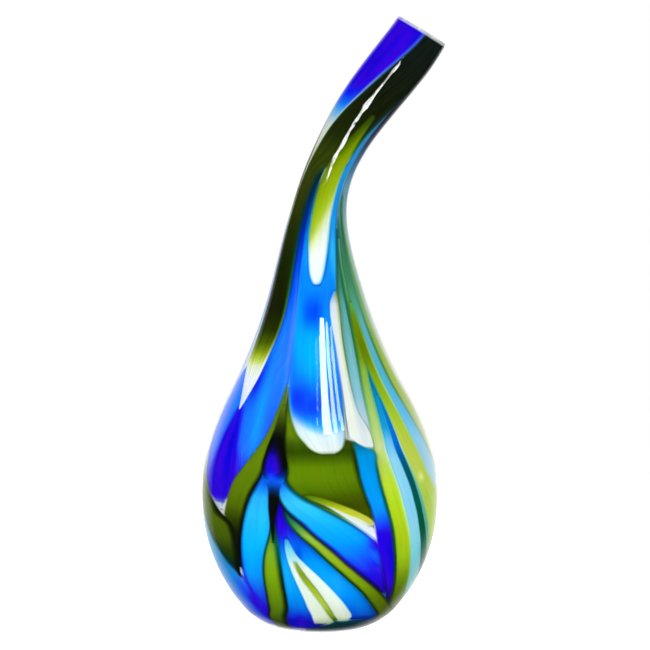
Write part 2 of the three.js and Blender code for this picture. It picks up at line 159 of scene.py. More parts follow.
lay("neck_lime_tongue", "lime_glass", 1, flow=(0.4, 0.4, 1, 0.6), soft=2.2, slant=-0.9,
    edges="""394 20 36, 380 12 39, 368 3 39, 356 -6 38.5, 344 -13 37, 332 -16 35, 318 -17 32,
    304 -16.8 27.5, 292 -15.8 23.8, 280 -13.5 18.8, 270 -11 14, 264.5 -9 11, 261 -6.6 8.4, 258.5 -3.4 5""",
    body="""394 30 42 4, 376 44 62 2, 362 64 88 2, 350 96 124 2, 340 128 152 2, 326 150 172 12,
    310 162 190 28, 302 176 200 60, 294 216 228 160, 286 232 240 224, 276 238 244 240, 220 opal""",
    left=("""394 30 42 4, 350 70 84 20, 330 60 92 30, 310 50 110 60, 296 80 150 120, 284 160 215 225,
    258 190 228 240""", 1.6),
    right=("""394 30 60 40, 372 50 96 20, 352 110 160 60, 340 150 200 130, 325 190 226 226, 300 214 236 242,
    258 190 228 240""", 2))
lay("centre_sky", "sky_glass", 3, flow=(0.4, 0.3, 1, 0.5), soft=2.2, bow=(0.034, 4),
    edges="""410 56 63, 400 53 63, 390 49 62.5, 380 44 61, 370 40 60, 360 36 59, 352 32 58, 344 4 56.5,
    335 -14 54, 320 -22 50.5, 300 -24 46, 280 -25 41, 258 -25 34, 240 -24.5 21, 220 -24 18.5, 200 -23 18,
    190 -22 18, 180 -20.5 17.6, 170 -18.2 17, 160 -15.2 16.4, 152 -11.5 15.8, 147 -8 15, 142 -4 13,
    139.5 0 10""",
    body="""410 40 60 70, 398 40 76 104, 385 30 88 140, 370 40 108 172, 350 50 128 204, 330 44 138 216,
    318 24 148 232, 300 26 158 240, 280 24 160 246, 262 18 152 248, 251 6 140 248, 240 4 140 250,
    228 0 152 250, 216 4 174 246, 202 4 174 246, 191 10 152 252, 180 16 130 248, 168 16 136 248,
    160 30 160 246, 156 110 204 246, 152 224 240 245, 139.5 232 240 234""",
    left=("""410 50 70 60, 344 50 90 40, 320 0 84 110, 300 0 110 200, 280 10 130 246, 240 20 150 252,
    200 40 112 252, 185 30 140 246, 170 60 180 240, 159 180 222 220, 139.5 226 236 224""", 2.4),
    right=("""410 50 60 70, 370 50 84 110, 352 60 110 150, 320 40 100 150, 300 8 68 118, 280 10 88 140,
    262 20 110 170, 250 60 140 200, 235 60 160 242, 200 30 120 242, 182 20 84 150, 166 50 100 60,
    150 84 104 44, 139.5 70 90 20""", 1.9),
    spots="""178 -14 11 10 14 58 240, 173 -4 8 10 14 74 244, 238 -4.5 12 7 0 62 248, 212 -4 16 12 4 178 248,
    200 13 40 3 40 150 248, 285 30 26 3.4 50 190 252""")
lay("left_sky_lobe", "sky_glass", 4, flow=(0.6, 0.6, 1, 1), soft=2.4,
    edges="""354 -38 -10, 340 -38 -12, 325 -38 -16, 310 -39 -17, 280 -40 -17, 250 -41 -18, 230 -43 -19,
    216 -47 -19, 206 -56 -19.5, 197 -78 -20, 188 -84 -20.5, 178 -85 -21.3, 165 -86 -22.5, 150 -86 -25,
    140 -85 -29.5, 130 -83 -35, 122 -81 -40, 114 -77 -45, 108 -73 -48.5, 103 -68 -52, 99 -63 -54.5,
    96 -60 -56""",
    body="""354 30 46 10, 344 14 44 34, 325 0 38 104, 310 0 44 170, 295 0 48 204, 270 0 64 230,
    250 4 88 246, 230 12 112 250, 210 18 122 248, 195 26 124 246, 175 26 132 246, 155 28 124 246,
    140 40 106 242, 128 44 66 234, 118 cobalt, 107 cobalt, 103 60 40 222, 100 180 204 245, 97.5 236 246 242,
    94 222 232 204""",
    left=("""340 0 50 56, 290 0 60 90, 255 0 84 110, 232 0 70 190, 212 60 110 236, 200 110 146 238,
    185 120 150 240, 150 120 156 240, 120 100 110 226, 100 200 210 230""", 3.4),
    right=("""340 10 70 60, 320 0 66 120, 300 0 108 204, 280 10 130 247, 250 14 140 252, 220 20 150 252,
    200 60 140 242, 185 60 130 224, 170 60 120 232, 150 50 108 242, 130 60 90 206, 110 40 20 184,
    102 90 90 210, 96 opal""", 3.2),
    spots="""170 -38 36 5 20 160 248, 160 -30 22 4 40 96 240, 190 -50 16 6 14 44 232,
    205 -33 30 5 40 130 250, 150 -75 34 8 90 140 244, 225 -24 36 3 90 150 250""")
lay("left_cobalt_streak", "cobalt_glass", 3, flow=(4, 4, 3, 2), soft=7,
    edges="""172 -58.5 -55.5, 165 -61.5 -53, 155 -64 -51, 145 -66 -49.5, 135 -68 -47.5, 125 -69 -46.5,
    115 -68 -46.5, 108 -65.5 -48.5, 103 -62 -52.5""",
    body="172 30 20 224, 150 cobalt, 103 cobalt")
lay("upper_olive_arm", "olive_glass", 3, flow=(0.8, 0.4, 1, 1), soft=2.2,
    edges="""188 -23 -21.5, 170 -26.6 -20.5, 160 -28.6 -21.8, 150 -31.8 -22.8, 140 -36.6 -24.6,
    130 -41.8 -27.2, 120 -47.2 -30.2, 110 -50.4 -34.4, 100 -52.6 -37.4, 90 -54.6 -39.6, 80 -55.8 -41.6,
    70 -56 -43.2, 60 -55.4 -44.8, 52 -54.4 -46.4""",
    body="""188 80 110 40, 176 96 124 24, 160 100 130 10, 132 104 136 8, 112 96 126 6, 100 84 108 4,
    90 52 70 2, 80 24 34 2, 66 black, 52 4 30 20""",
    left=("188 60 100 60, 150 60 92 20, 120 40 66 20, 104 110 130 60, 96 50 60 10, 52 black", 1.6),
    right=("188 80 110 40, 172 90 118 20, 164 black, 52 black", 4))
lay("left_olive_leaf", "olive_glass", 2, flow=(0.8, 0.8, 1, 1), soft=2.6,
    edges="""128 -90 -79, 118 -89 -75, 108 -87 -68.6, 100 -84 -62, 94 -82 -56.4, 88 -80 -49.6, 80 -75 -46.6,
    72 -69.5 -46, 65 -64.5 -46, 58 -60.5 -46.8, 52 -56.5 -48, 47 -52.5 -49.4""",
    body="""128 150 170 110, 115 124 146 40, 100 92 114 8, 86 84 108 6, 74 72 96 6, 64 40 62 6, 54 6 46 22,
    47 4 60 60""",
    left=("128 pale_aqua, 104 140 160 90, 90 60 110 60, 76 10 62 24, 60 4 50 30, 47 10 70 90", 3.4),
    right=("128 190 205 200, 112 110 130 50, 104 50 62 6, 94 14 20 2, 47 black", 6.4))
lay("apex_cobalt", "cobalt_glass", 2, flow=(0.6, 0.6, 2, 2),
    edges="""172 -23 -21, 160 -25 -20, 150 -27.4 -19.2, 140 -29.2 -17.4, 130 -30.2 -15.6, 122 -28.6 -16.8,
    115 -26 -19.2, 108 -25.6 -19.6, 100 -25.6 -20.4, 92 -25.2 -21.8, 84 -24.7 -22.4, 76 -24.2 -22.8""",
    body="""172 60 80 10, 163 black, 150 8 10 30, 143 16 6 90, 137 40 6 204, 127 40 10 220, 122 6 80 246,
    118 10 60 190, 113 black, 76 black""",
    left=("""172 90 116 20, 150 black, 130 black, 124 0 40 120, 120 10 110 230, 115 10 60 150, 108 black,
    90 0 20 80, 76 0 50 50""", 3.6),
    right=("""172 90 116 20, 150 black, 130 black, 124 0 40 120, 120 10 110 240, 115 10 60 150, 108 black,
    84 black, 76 0 40 30""", 7))
lay("left_sky_petal", "sky_glass", 4, flow=(0.8, 0.8, 1.5, 7), soft=2,
    edges="""126 -31 -22, 118 -33.4 -22, 110 -36.6 -22.5, 100 -39.4 -23, 90 -41.6 -23.4, 80 -43.4 -24,
    70 -45 -25.5, 60 -46.4 -27.5, 50 -47.8 -29.5, 40 -48.6 -31.5, 30 -49 -34, 20 -49 -37, 12 -50 -40""",
    body="""126 blue, 118 14 116 250, 108 40 180 252, 94 40 192 252, 70 6 180 250, 56 0 162 244,
    46 10 150 240, 38 20 110 236, 28 30 50 222, 18 44 6 208, 12 cobalt""",
    left=("126 blue, 112 0 60 110, 90 0 100 180, 70 0 90 190, 50 10 70 220, 40 34 30 220, 12 cobalt", 3.6),
    right=("126 blue, 110 10 40 120, 90 0 40 170, 60 0 60 220, 40 0 50 210, 20 10 10 100, 12 navy", 2.6))
lay("lower_olive_leaf", "olive_glass", 3, flow=(0.3, 0.3, 1, 7),
    edges="""90 -24.8 -22, 80 -26.4 -21, 70 -29 -20.5, 60 -31.4 -20.3, 50 -33.2 -20.2, 40 -34.7 -20.3,
    30 -36.4 -20.6, 20 -40 -22.5, 14 -45 -26, 10 -50 -30""",
    body="""90 30 110 50, 80 84 142 44, 66 130 170 34, 50 126 164 12, 36 110 148 10, 24 96 132 10,
    14 78 108 12, 10 60 84 10""",
    left=("90 0 60 60, 70 0 60 50, 55 6 30 10, 10 black", 2.4),
    right=("90 0 50 30, 74 0 96 64, 58 0 70 40, 46 4 30 10, 20 8 24 6, 10 20 34 10", 4.2))
lay("left_sky_band", "sky_glass", 3, flow=(1, 3, 1, 7), soft=2.2,
    edges="""104 -96 -86, 90 -95 -79, 78 -94 -73, 66 -93 -65, 56 -92 -58, 48 -90 -51, 40 -88 -47.5,
    30 -85 -46.5, 20 -82 -47, 12 -80 -48""",
    body="""104 150 200 214, 80 100 186 214, 66 70 168 214, 54 40 152 214, 42 26 150 222, 32 22 136 222,
    22 22 112 224, 12 22 80 214""",
    left=("104 180 210 190, 60 120 186 206, 12 60 120 210", 5),
    right=("104 aqua, 70 30 90 90, 54 10 80 110, 46 40 90 220, 40 44 40 224, 30 cobalt, 12 cobalt", 5),
    # The first spot, a tiny pale dot, is a painted glint.
    spots="43.5 -49.6 2 2.8 200 222 248, 34 -54 9 6 40 90 242, 24 -49 8 6 cobalt")
lay("centre_olive_leaf", "olive_glass", 4, flow=(0.8, 0.6, 0.6, 0.6), soft=2,
    edges="""187 -21.4 -19.2, 176 -21.6 -13, 168 -21.4 -9, 160 -21 -4, 154 -20.6 2, 150 -20.5 16,
    144 -20 20.6, 135 -19 21.4, 127 -17.5 22, 121 -17.6 23, 115 -15.4 24.4, 110 -12.2 25.8, 106 -8.4 27,
    102 -3.4 28, 98 2.4 28.8, 94 8 29.4, 90 14 29.8, 87 19 30""",
    body="""187 80 110 40, 176 92 124 14, 165 106 136 6, 153 104 134 6, 147 64 90 10, 141 48 74 2,
    136 72 102 4, 130 100 136 4, 122 100 136 6, 114 86 118 2, 108 72 94 0, 102 64 80 0, 96 74 94 0,
    87 90 110 10""",
    left=("""187 60 84 20, 166 60 84 8, 156 20 30 4, 149 black, 126 black, 117 4 44 20, 110 10 76 30,
    105 60 110 10, 99 130 150 10, 87 170 180 50""", 3.4),
    right=("""187 60 84 20, 166 120 150 60, 158 150 176 110, 151 70 92 10, 142 44 60 4, 132 20 38 4,
    116 8 22 4, 100 12 24 4, 90 30 54 30""", 5))
lay("yellow_seam", "lime_glass", 1, flow=(0.6, 1, 1, 1), soft=1.8,
    edges="""109.5 -8 -3, 106.5 -4.5 5.5, 103 1 11.5, 100 6 16, 97 10 20, 94 14.4 23.6, 91 19 26.2,
    87 24.6 28.8""",
    body="109 90 126 8, 104 146 166 12, 99 196 202 44, 88 206 208 92",
    left=("109 0 100 70, 100 226 232 190, 88 236 240 220", 1.2),
    right=("104 126 4", 1.2))
lay("white_wedge", "opal_glass", 2, flow=(0.5, 0.5, 0.8, 0.8), soft=1.4,
    edges="""103.5 1 4, 100 4.5 10, 96 8.5 16, 92 12.5 20.5, 88 16.5 24.5, 84 20.2 27.4, 80 24 29.2,
    77 27 29.9, 75 28.8 30.1""",
    body="103.5 214 226 150, 98 236 240 224, 75 232 240 244",
    left=("103.5 0 96 80, 92 90 170 180, 84 150 200 225, 75 80 90 220", 1.2),
    right=("103.5 yellow, 92 224 226 140, 84 214 214 170, 75 120 110 220", 1.3))
lay("sweeping_sky_band", "sky_glass", 3, flow=(2.4, 1, 1, 1), soft=1.8,
    edges="""124 -22 -18.5, 118 -21.6 -15.5, 113 -21 -11.8, 108 -20 -6.8, 103 -18.4 -0.4, 98 -16 5.6,
    93 -12.4 11.4, 88 -8.2 16.8, 83 -4.6 21.6, 78 -0.8 26, 73 3.4 30.4, 68 7.6 35, 62 12 38.4, 56 17 41.4,
    50 22.4 43.8, 44 28.6 46.4, 38 35.2 49, 33 41.6 51""",
    body="""124 0 80 246, 118 16 116 250, 112 40 170 252, 104 56 196 253, 95 34 184 252, 85 12 172 250,
    75 2 158 248, 66 10 122 242, 58 26 66 232, 51 38 24 222, 42 cobalt, 33 40 8 180""",
    left=("124 blue, 116 black, 104 black, 94 14 10 90, 84 28 20 170, 64 28 16 196, 33 navy", 3),
    right=("""124 blue, 118 0 70 110, 108 0 84 84, 94 0 92 96, 86 0 100 150, 79 20 90 220, 74 40 20 220,
    60 cobalt, 33 cobalt""", 2.8),
    spots="72 30 6 8 42 14 220")
lay("azure_stripe", "sky_glass", 1, flow=(1.4, 1.4, 0.6, 1),
    edges="""148 18.4 21, 144 18.8 27, 140 19.3 30, 130 20 30.3, 120 20.8 30.8, 110 22.6 32.2,
    100 25.2 34.2, 90 27.4 36.6, 80 29 38.6, 70 30.6 40.4, 60 33.4 42.8, 50 37 45.4, 40 41.2 48.6,
    33 45 51.2, 28 47.6 52.6, 23 50.6 54.2""",
    body="""148 10 80 60, 144 0 120 170, 138 0 152 224, 120 0 160 240, 104 4 160 244, 96 10 140 244,
    88 24 80 238, 80 cobalt, 40 cobalt, 29 30 10 120""",
    left=("148 60 90 10, 135 14 60 50, 120 0 60 80, 100 6 70 140, 90 30 60 190, 80 cobalt, 29 navy", 1.8),
    right=("""148 30 110 90, 138 40 140 130, 126 0 96 98, 110 0 76 74, 95 0 78 62, 80 4 80 42, 60 10 60 40,
    45 30 60 20, 29 40 60 10""", 2.8))
# The cream streak is partly a cream trail and partly a painted highlight: its near-white body and its two
# pale spots paint a bright window's reflection over the cream.
lay("cream_streak", "opal_glass", 1, flow=(0.3, 0.3, 0.8, 0.8),
    edges="""253 22.5 27.5, 247 16.4 27.8, 240 14.8 27.4, 232 14.8 26.4, 222 15.8 25.2, 210 17 24.6,
    195 17.6 24.2, 180 17.6 24, 168 17.2 25, 156 17.3 29, 150 18 30.4, 146 20.5 30.6, 142.5 26 30.4""",
    body="251 150 190 200, 244 228 236 236, 232 238 242 240, 185 242 243 228, 160 240 242 226, 142.5 opal",
    left=("251 80 150 220, 236 190 220 240, 200 226 238 242, 170 236 238 226, 142 200 220 190", 1),
    right=("""251 150 170 100, 240 190 200 130, 225 226 228 172, 200 226 228 176, 175 214 224 216,
    142.5 opal""", 2.2),
    spots="165 26 16 4 206 220 234, 190 21 34 1.2 246 246 226")
lay("inner_aqua_ribbon", "aqua_glass", 3,
    edges="""300 43 48, 280 37 43, 262 31 39.5, 250 27.5 38.5, 240 25.8 38.2, 230 24.6 37.8, 210 23.6 35.8,
    195 23.4 33.9, 180 23.2 32.2, 165 23.6 31.4, 150 25 31""",
    body="""300 40 110 130, 276 50 130 110, 256 70 146 120, 244 104 184 180, 222 124 194 196,
    200 132 200 214, 180 150 206 226, 162 200 222 236, 150 220 230 240""",
    left=("""300 20 80 110, 262 50 100 60, 246 100 130 40, 228 70 116 30, 210 60 112 50, 196 100 144 84,
    182 160 196 180, 150 216 228 236""", 2.6),
    right=("300 20 90 60, 240 30 118 92, 210 20 104 84, 180 50 132 108, 150 80 150 120", 2))
lay("long_lime_ribbon", "lime_glass", 2, flow=(1.4, 1.4, 1, 7), soft=1.8,
    edges="""292 42 47, 276 39.5 44, 262 38.4 43.6, 250 37.4 43.6, 240 37.2 43.6, 230 37 43.4, 220 36.4 43,
    210 35.6 42.6, 200 34.5 42.2, 190 33.2 40.4, 180 32 39.3, 170 31.3 38.5, 160 31 38.1, 150 30.2 37.8,
    140 29.6 37.6, 130 29.6 38.6, 120 30.2 40.4, 110 31.6 42.6, 100 33.8 44.6, 90 36 47, 80 38.4 49.6,
    70 40.4 52.2, 60 42.6 55, 50 45.2 58.4, 40 48.4 62.6, 30 52 69, 20 57 77, 12 63 85""",
    body="""292 50 120 90, 270 60 130 60, 252 84 150 80, 238 80 140 50, 230 112 142 12, 215 122 150 12,
    205 130 164 30, 195 150 190 70, 180 172 208 100, 160 188 218 122, 142 212 224 150, 130 192 216 90,
    118 190 216 56, 100 182 212 34, 80 180 206 26, 60 160 196 26, 50 138 170 16, 40 110 146 8, 30 94 120 6,
    12 80 98 14""",
    left=("""292 20 90 80, 250 24 110 84, 230 24 110 80, 210 30 116 60, 190 80 150 90, 170 110 176 128,
    150 160 200 140, 136 60 132 90, 120 0 80 78, 100 0 78 66, 85 0 80 38, 70 18 90 18, 50 48 90 0,
    30 46 68 0, 12 50 64 6""", 2.8),
    right=("""292 110 170 150, 250 100 164 100, 230 118 146 20, 200 130 162 30, 186 120 180 118,
    160 140 204 150, 140 192 224 210, 120 186 226 190, 80 200 226 156, 50 150 190 100, 20 100 132 56,
    12 90 120 50""", 2.4))
lay("forked_lime_ribbon", "lime_glass", 1, soft=1.8,
    edges="""242 42.4 47.6, 232 41.6 49, 220 41.5 50, 210 41.6 50.6, 200 42.2 51.2, 190 43.4 52.2,
    180 44.5 53.4, 170 45.6 55, 160 46.8 57.2, 150 47.8 59.2, 140 48.8 61.6, 130 51 64.2, 120 53.6 67.4,
    110 57 75, 100 60.5 86, 90 64 94, 80 68 100, 70 72 104, 60 78 107""",
    body="""242 90 166 90, 235 108 142 14, 226 116 140 4, 212 100 126 0, 200 118 150 8, 190 140 172 18,
    180 152 184 28, 165 172 200 48, 150 186 206 68, 135 192 207 84, 120 192 208 90, 105 182 207 80,
    85 182 209 80, 60 170 200 106""",
    left=("""242 110 150 40, 205 100 130 0, 197 50 146 110, 180 66 160 120, 160 140 206 160,
    145 192 224 206, 120 130 202 166, 100 130 206 182, 60 120 190 160""", 1.9),
    right=("""242 80 166 110, 225 120 176 90, 210 164 202 120, 180 182 214 150, 150 162 214 166,
    120 192 218 150, 90 202 217 130, 60 190 212 140""", 2.4),
    # This spot, a tiny pale dot, is a painted glint.
    spots="117 60 3 4 226 236 150")
lay("wide_aqua_ribbon", "aqua_glass", 3, flow=(1.4, 1.4, 1, 7), soft=1.8,
    edges="""198 41.4 42.8, 190 39.6 44, 180 38.6 45, 170 37.9 46, 160 37.5 47, 150 37.3 47.4,
    140 37.2 47.8, 130 38.2 48.8, 120 40 50.6, 110 42.4 53, 100 44.6 56, 90 46.8 59, 80 49.4 62.2, 70 52 66,
    60 55 71, 50 58.4 77, 40 62.4 85.6, 30 69 94, 20 77 99, 12 84 103""",
    body="""198 10 130 140, 186 0 146 198, 170 8 156 216, 156 24 160 220, 146 110 196 236, 132 150 216 242,
    100 142 212 246, 80 150 217 238, 60 134 214 228, 40 140 206 210, 12 130 184 170""",
    left=("""198 30 130 110, 180 70 160 90, 160 110 190 130, 145 180 220 214, 110 180 226 200,
    60 170 220 180, 12 120 160 100""", 1.6))
lay("teal_ribbon", "teal_glass", 2, soft=1.8,
    edges="""178 43 45.4, 170 43 46.4, 160 43.2 47.2, 150 43.6 48, 140 44 48.6, 130 45.8 50.4, 120 48 52.8,
    110 50.6 55.4, 100 53 58.4, 90 55.8 61.4, 80 58.4 65, 70 61.8 69.2, 60 65.6 74.6, 50 71 82, 40 78 92,
    30 88 103""",
    body="""178 0 136 206, 160 0 120 214, 150 0 112 217, 142 0 106 214, 134 0 92 160, 126 0 90 116,
    112 0 86 88, 100 0 88 78, 84 0 86 60, 64 20 106 78, 30 34 106 86""",
    left=("178 20 160 220, 140 110 196 238, 110 110 196 220, 80 110 196 200, 30 100 180 170", 1.5),
    right=("178 40 150 170, 150 110 190 190, 120 120 196 180, 100 84 172 152, 30 110 186 160", 1.7))
lay("low_aqua_ribbon", "aqua_glass", 3,
    edges="""130 49.4 52, 120 51.6 56, 110 54.6 60.4, 100 57.6 65, 90 60.6 70, 80 64.2 75, 70 68 81,
    60 73 89, 50 80 98, 46 86 103""",
    body="130 120 190 190, 100 130 206 188, 80 120 196 174, 60 140 202 178, 46 150 202 182",
    left=("86 172 150", 1.6))
lay("side_aqua_ribbon", "aqua_glass", 3, soft=1.8,
    edges="""308 48 58, 292 46 58, 276 44 58.4, 262 43.4 59, 250 43.4 59.6, 240 46 60.2, 230 48.6 60.8,
    220 49.6 61.3, 210 50 61.8, 200 50.6 62.4, 190 51.6 63.6, 180 52.8 65.4, 170 54.4 68, 160 56.6 70.6,
    150 58.6 74, 140 61 78, 130 63.6 83, 120 66.8 88, 110 73 93, 104 80 97""",
    body="""308 70 130 120, 280 66 136 100, 262 70 144 104, 250 82 158 126, 240 94 176 160, 230 110 190 202,
    210 102 192 222, 195 90 190 224, 180 94 192 234, 160 114 202 246, 145 148 208 240, 130 166 209 230,
    104 190 218 226""",
    left=("""308 30 100 80, 262 50 120 50, 244 50 126 50, 230 56 158 130, 200 90 190 192, 180 150 212 190,
    160 76 170 202, 140 120 196 226, 104 160 206 210""", 2.6),
    right=("""308 50 110 80, 240 80 160 130, 210 56 138 108, 190 76 162 158, 170 66 152 148,
    155 150 202 222, 104 200 222 232""", 2.2))
lay("side_olive_ribbon", "olive_glass", 2, soft=2.4,
    edges="""325 55 68, 300 56.5 70, 280 57 71, 260 58 72, 240 59.2 72.4, 230 59.8 72.8, 210 60.8 74.8,
    195 62.2 77, 180 64 80.4, 165 67.5 86.5, 150 72 94, 140 76 100, 130 80 106, 120 86 110, 112 93 113""",
    body="""325 100 146 130, 300 76 136 96, 280 86 148 106, 262 108 164 118, 245 120 172 118,
    230 150 186 108, 212 150 184 76, 198 164 190 76, 180 168 190 74, 165 180 196 106, 150 190 201 146,
    112 200 215 168""",
    left=("""325 54 106 100, 300 36 104 56, 262 66 138 86, 240 78 150 108, 215 56 128 66, 200 66 122 46,
    180 78 128 36, 165 98 150 86, 150 128 170 136, 112 150 170 130""", 3.4),
    right=("325 150 180 164, 240 172 192 150, 200 190 206 150, 112 206 216 180", 3))
lay("pale_side_ribbon", "aqua_glass", 3, flow=(2.2, 1.4, 1, 1), soft=2.4,
    edges="""424 76 106, 410 65 97, 395 63.5 94, 380 62.5 92, 365 61 91.5, 352 59 92, 340 57 93, 325 53 94,
    310 50 95, 300 56 96, 270 60 97, 240 64 99, 220 68 102, 200 71 105, 180 76 110, 160 83 115, 146 91 119,
    134 98 122, 122 105 124, 112 111 124""",
    body="""424 26 34 26, 400 38 44 52, 375 56 70 96, 352 80 120 150, 335 110 156 172, 312 120 168 170,
    300 146 184 178, 270 150 190 166, 250 166 194 176, 230 186 200 188, 200 200 212 182, 150 195 215 215,
    112 aqua""",
    left=("424 24 34 30, 380 30 70 110, 352 50 120 170, 300 80 140 130, 200 150 180 130", 3))
lay("lime_sweep", "lime_glass", 1, flow=(0.2, 0.2, 1, 7), soft=1.4,
    edges="""99 -18.6 -15.6, 95 -18 -12.6, 90 -16.4 -8.6, 85 -14 -5, 80 -11 -1.4, 75 -7.4 2.6, 70 -3.6 6.6,
    65 -0.2 10.4, 60 3.4 14.2, 55 7.2 18.6, 50 11.2 23.2, 45 15.4 28.4, 40 20 33.8, 35 24.8 39.8,
    30 29.4 46, 25 34.4 53, 20 40.4 62, 15 47.6 72, 10 55 82""",
    body="""99 6 60 60, 93 30 116 90, 87 80 150 66, 80 150 190 60, 62 152 182 28, 42 122 152 8, 27 96 122 4,
    15 84 104 8, 10 66 84 10""",
    left=("99 0 30 60, 86 0 66 50, 70 0 50 20, 40 4 40 6, 10 14 34 6", 2.6),
    right=("99 0 20 50, 80 10 30 30, 60 20 20 60, 45 16 14 60, 32 30 40 10, 10 60 80 10", 2.4))
lay("lower_sky_fan", "sky_glass", 4, flow=(0.4, 4, 1, 6), soft=1.8,
    edges="""115 -22.2 -17, 104 -22.4 -13, 95 -22.8 -10, 85 -22.8 -4, 75 -22.8 3, 65 -22.8 10, 55 -23 18,
    45 -23.4 28, 36 -24.2 38, 28 -25.8 49, 20 -28.4 58, 14 -32 66, 9 -38 74""",
    body="""115 4 6 40, 108 16 0 110, 100 34 0 190, 91 36 6 208, 80 20 60 228, 70 0 114 232, 60 0 148 238,
    45 6 158 242, 35 0 150 240, 25 0 126 228, 15 4 90 216, 9 20 36 180""",
    left=("""104 navy, 85 30 0 190, 75 20 50 200, 60 0 100 200, 45 0 106 190, 30 0 80 176, 15 16 30 194,
    9 40 6 180""", 3),
    right=("104 cobalt, 60 20 110 230, 9 10 50 110", 2),
    spots="""10 -20 7 24 30 6 200, 88 -19 12 4 cobalt, 66 -11 10 3 0 84 214, 48 -18.5 14 3 20 166 246,
    44 10 20 4 20 160 246, 9 40 4 20 10 40 110""")
lay("white_leaf", "opal_glass", 3, flow=(0.5, 0.5, 0.8, 0.8), soft=1.5,
    edges="""77 -17.7 -15.8, 72 -18 -14, 66 -17.8 -12, 60 -17 -8.4, 52 -15.6 -2.6, 44 -13.8 3.2, 36 -11.8 9,
    29 -10 14.4, 22 -8.4 20, 17 -6.6 24.2, 13.5 -6 24.8, 11 -5.4 21, 9.4 -5 14""",
    body="""77 50 160 200, 70 116 206 222, 63 168 222 222, 57 216 233 214, 50 232 241 226, 25 228 237 218,
    14 224 233 206, 10 190 206 170""",
    left=("77 30 140 210, 60 140 216 236, 30 120 190 236, 10 130 180 226", 1.1),
    right=("77 30 150 220, 60 190 226 226, 40 190 230 240, 14 164 212 236, 10 60 110 130", 1.3))
lay("white_leaf_vein", "lime_glass", 2, flow=(0.3, 0.3, 0.5, 0.5), soft=1.1,
    edges="""60 -13.6 -12.2, 54 -12.6 -9.4, 47 -10.4 -6, 40 -7 -2.2, 33 -3.2 1.4, 27 0.2 4.8, 21 3.6 8.4,
    16 6.8 11.8, 12.5 9.8 15, 10.5 12 17.6""",
    body="""60 150 170 80, 50 128 150 20, 38 162 186 36, 25 168 191 56, 16 120 150 26, 12.5 40 84 50,
    10.5 6 56 60""",
    left=("106 128 8", 0.8),
    right=("84 108 8", 1))
lay("foot_teal", "teal_glass", 1, flow=(1, 1, 1, 1), soft=3,
    edges="12 14 32, 9 4 60, 6 -8 74, 3 -20 84",
    body="12 0 70 80, 9 0 54 60, 3 6 50 56")
lay("back_neck_sky", "sky_glass", 4,
    edges="""464 124 182, 430 108 160, 400 98 142, 370 96 130, 340 98 126, 310 99 130, 280 96 140,
    250 100 142, 220 106 146, 190 112 150, 170 116 146, 154 122 138""",
    body="464 blue, 420 azure, 340 sky, 250 azure, 190 blue, 172 pale_sky, 160 opal, 154 opal",
    left=("teal", 1.4),
    right=("30 60 220", 2))
lay("back_neck_olive", "olive_glass", 2,
    edges="""464 172 252, 430 152 258, 400 136 264, 370 126 272, 340 122 280, 310 128 276, 280 138 262,
    250 144 244, 225 148 228, 205 152 212, 192 160 196""",
    body="""464 dark_green, 390 30 44 4, 330 deep_olive, 280 olive, 240 light_olive, 216 lime, 206 cream,
    192 opal""",
    left=("dark_green", 1.6),
    right=("dark_green", 1.6))
lay("back_cobalt_lobe", "cobalt_glass", 3,
    edges="""300 256 276, 270 248 278, 240 236 280, 210 222 278, 190 208 276, 170 206 272, 150 208 266,
    130 214 258, 116 222 248, 106 230 240""",
    body="300 blue, 240 cornflower, 180 blue, 140 cobalt, 112 cobalt, 106 opal",
    left=("azure", 4),
    right=("pale_sky", 3))
lay("back_lime_ribbon", "lime_glass", 1, flow=(1.4, 1.4, 1, 7),
    edges="""270 128 142, 240 132 148, 210 138 154, 180 145 160, 150 154 168, 120 164 178, 90 174 190,
    60 184 204, 36 194 220, 18 206 238, 10 216 250""",
    body="270 olive, 210 lime, 120 176 204 50, 60 150 184 28, 10 deep_olive",
    left=("50 90 10", 1.6),
    right=("pale_lime", 1.2))
lay("back_aqua_ribbon", "aqua_glass", 3, flow=(1.4, 1.4, 1, 7),
    edges="""230 146 160, 200 148 170, 170 154 182, 140 162 194, 110 171 204, 80 181 214, 55 192 226,
    34 204 240, 18 218 254, 10 232 258""",
    body="230 teal, 200 aqua, 100 150 214 236, 10 110 180 200",
    left=("teal", 1.4),
    right=("0 120 170", 1.6))
lay("back_olive_leaf", "olive_glass", 2,
    edges="""150 192 200, 130 196 214, 110 203 228, 92 212 246, 76 222 262, 62 234 268, 50 248 270,
    42 258 270""",
    body="150 deep_olive, 120 olive, 90 100 140 6, 60 deep_olive, 42 black",
    left=("black", 1.6),
    right=("dark_green", 1.4))
lay("back_sky_petal", "sky_glass", 4, flow=(1.4, 1.4, 1, 7),
    edges="""150 176 190, 125 184 216, 100 194 240, 80 204 262, 60 214 272, 42 226 280, 26 238 286,
    14 250 292, 10 256 292""",
    body="150 blue, 120 sky, 70 sky, 40 azure, 20 cobalt, 10 cobalt",
    left=("cobalt", 2.4),
    right=("0 90 190", 2))
lay("back_teal_fan", "teal_glass", 4, flow=(1.4, 1.4, 1, 7),
    edges="140 120 132, 115 112 150, 90 104 170, 65 100 190, 42 96 206, 24 94 222, 10 96 240",
    body="140 teal, 110 0 120 150, 70 azure, 30 0 120 200, 10 dark_teal",
    left=("dark_teal", 1.6),
    right=("cobalt", 3))
lay("back_white_leaf", "opal_glass", 3,
    edges="96 122 128, 80 118 138, 62 114 150, 44 112 160, 28 112 166, 14 116 164",
    body="96 aqua, 84 opal, 24 opal, 14 pale_aqua",
    left=("pale_aqua", 1),
    right=("pale_aqua", 1))
lay("back_leaf_vein", "lime_glass", 2,
    edges="84 124 128, 66 122 132, 48 124 138, 32 128 146, 18 134 152",
    body="84 light_olive, 50 lime, 18 olive",
    right=("deep_olive", 1))
